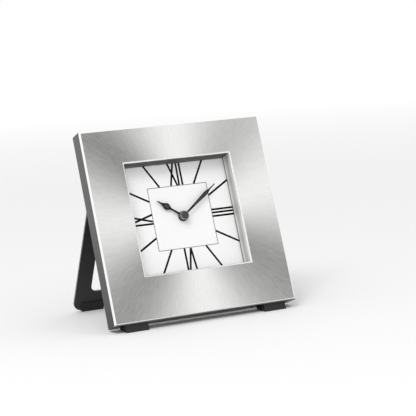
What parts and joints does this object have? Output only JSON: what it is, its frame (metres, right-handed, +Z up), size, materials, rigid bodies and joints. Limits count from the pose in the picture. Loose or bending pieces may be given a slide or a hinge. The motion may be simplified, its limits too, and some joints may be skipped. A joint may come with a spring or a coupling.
{
  "type": "pendulette clock",
  "caption": "Square metal-framed quartz desk clock with a recessed dial, two hands, a rear movement with setting knob and a folding easel.",
  "frame": {"origin": "on the table, under the middle of the standing clock's bounding box", "axes": "+Z up, +X to the reader's right, the dial faces -Y and leans back"},
  "size_m": [0.1, 0.07, 0.0983],
  "materials": {
    "sunray_metal": "brushed in rays round the dial, clear lacquer",
    "dial_white": "smooth satin white with printed black strokes",
    "black_plastic": "fine moulded grain",
    "grey_plastic": "plain moulded",
    "black_steel": "fine powder coat",
    "hand_black": "semi-gloss lacquer",
    "steel": "turned and zinc plated",
    "brass": "turned",
    "gear_plastic": "moulded acetal",
    "magnet": "sintered",
    "board_green": "lacquered laminate",
    "copper": "enamelled wire",
    "rubber": "matt",
    "cell_wrap": "plain sleeve"
  },
  "bodies": {
    "housing": {"front_shell": "sunray_metal", "core_frame": "grey_plastic", "dial_plate": "dial_white", "back_cover": "black_plastic", "cover_screws": "steel", "hinge_screws": "steel", "movement_plate": "black_plastic", "movement_case": "black_plastic", "train_bridge": "grey_plastic", "battery": "cell_wrap", "contact_positive": "steel", "contact_negative": "steel", "circuit_board": "board_green", "chip": "black_plastic", "quartz_crystal": "steel", "stator": "steel", "coil_core": "steel", "coil_bobbin": "black_plastic", "coil_winding": "copper", "hinge_bracket_left": "black_steel", "hinge_bracket_right": "black_steel", "hinge_pins": "steel", "frame_feet": "rubber"},
    "minute_work": {"minute_arbor": "steel", "cannon_pinion": "brass", "clutch_spring": "steel", "minute_hand": "hand_black", "hand_cap": "hand_black"},
    "hour_work": {"hour_wheel": "gear_plastic", "hour_hand": "hand_black"},
    "motion_gear": {"motion_wheel": "gear_plastic"},
    "setting_gear": {"setting_knob": "black_plastic", "setting_pinion": "gear_plastic"},
    "centre_gear": {"centre_wheel": "gear_plastic"},
    "third_gear": {"third_wheel": "gear_plastic"},
    "second_gear": {"second_wheel": "gear_plastic"},
    "step_gear": {"step_wheel": "gear_plastic"},
    "rotor": {"rotor_pinion": "gear_plastic", "rotor_magnet": "magnet"},
    "easel": {"strut_plate": "black_steel", "strut_pads": "rubber"}
  },
  "joints": [
    {"name": "minute_hand_spin", "type": "hinge", "parent": "housing", "child": "minute_work", "pos_m": [0, -0.01261, 0.05154], "axis": [0, 0.9426, -0.334], "continuous": true},
    {"name": "hour_hand_spin", "type": "hinge", "parent": "housing", "child": "hour_work", "pos_m": [0, -0.01261, 0.05154], "axis": [0, 0.9426, -0.334], "continuous": true},
    {"name": "motion_wheel_spin", "type": "hinge", "parent": "housing", "child": "motion_gear", "pos_m": [-0.00935, -0.00515, 0.05462], "axis": [0, 0.9426, -0.334], "continuous": true},
    {"name": "setting_knob_spin", "type": "hinge", "parent": "housing", "child": "setting_gear", "pos_m": [-0.01475, 0.01032, 0.05906], "axis": [0, 0.9426, -0.334], "continuous": true},
    {"name": "rotor_spin", "type": "hinge", "parent": "housing", "child": "rotor", "pos_m": [0.00223, 0.00571, 0.06102], "axis": [0, 0.9426, -0.334], "continuous": true},
    {"name": "step_wheel_spin", "type": "hinge", "parent": "housing", "child": "step_gear", "pos_m": [0.00643, 0.00477, 0.06135], "axis": [0, 0.9426, -0.334], "continuous": true},
    {"name": "second_wheel_spin", "type": "hinge", "parent": "housing", "child": "second_gear", "pos_m": [0.01162, 0.00245, 0.05899], "axis": [0, 0.9426, -0.334], "continuous": true},
    {"name": "third_wheel_spin", "type": "hinge", "parent": "housing", "child": "third_gear", "pos_m": [0.01015, -0.00167, 0.05158], "axis": [0, 0.9426, -0.334], "continuous": true},
    {"name": "centre_wheel_spin", "type": "hinge", "parent": "housing", "child": "centre_gear", "pos_m": [0, -0.01261, 0.05154], "axis": [0, 0.9426, -0.334], "continuous": true},
    {"name": "easel_fold", "type": "hinge", "parent": "housing", "child": "easel", "pos_m": [0, 0.00847, 0.08438], "axis": [-1, 0, 0], "range_deg": [0, 36]}
  ],
  "couplings": [
    {"joint": "hour_hand_spin", "follows": "minute_hand_spin", "ratio": 0.083333},
    {"joint": "motion_wheel_spin", "follows": "minute_hand_spin", "ratio": -0.33333},
    {"joint": "setting_knob_spin", "follows": "minute_hand_spin", "ratio": 1},
    {"joint": "step_wheel_spin", "follows": "rotor_spin", "ratio": -0.16667},
    {"joint": "second_wheel_spin", "follows": "rotor_spin", "ratio": 0.033333},
    {"joint": "third_wheel_spin", "follows": "rotor_spin", "ratio": -0.0044444},
    {"joint": "centre_wheel_spin", "follows": "rotor_spin", "ratio": 0.00055556}
  ]
}
